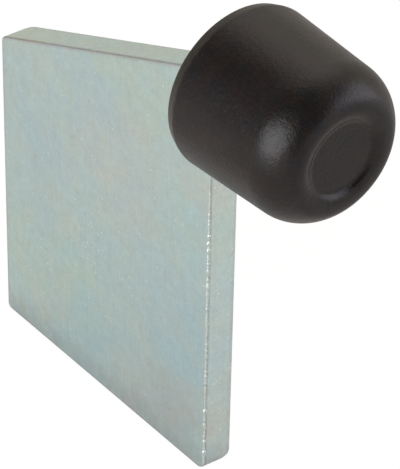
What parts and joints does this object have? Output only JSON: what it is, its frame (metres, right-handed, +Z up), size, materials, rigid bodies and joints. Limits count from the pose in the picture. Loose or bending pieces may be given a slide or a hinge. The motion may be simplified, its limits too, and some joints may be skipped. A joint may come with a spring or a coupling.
{
  "type": "gate stop",
  "caption": "Weld-on gate stop: a zinc-plated steel plate with a round black rubber buffer on the top of its upright edge.",
  "frame": {"origin": "middle of the plate's bottom edge, at half its thickness", "axes": "+X along the plate towards the buffer and along the buffer's axis, +Y through the plate's thickness towards its back face, +Z up"},
  "size_m": [0.1121, 0.038, 0.126],
  "materials": {
    "zinc_steel": "zinc plated, satin",
    "black_rubber": "moulded, satin"
  },
  "bodies": {
    "root": {"plate": "zinc_steel", "seat_disc": "zinc_steel", "buffer": "black_rubber"}
  },
  "joints": []
}
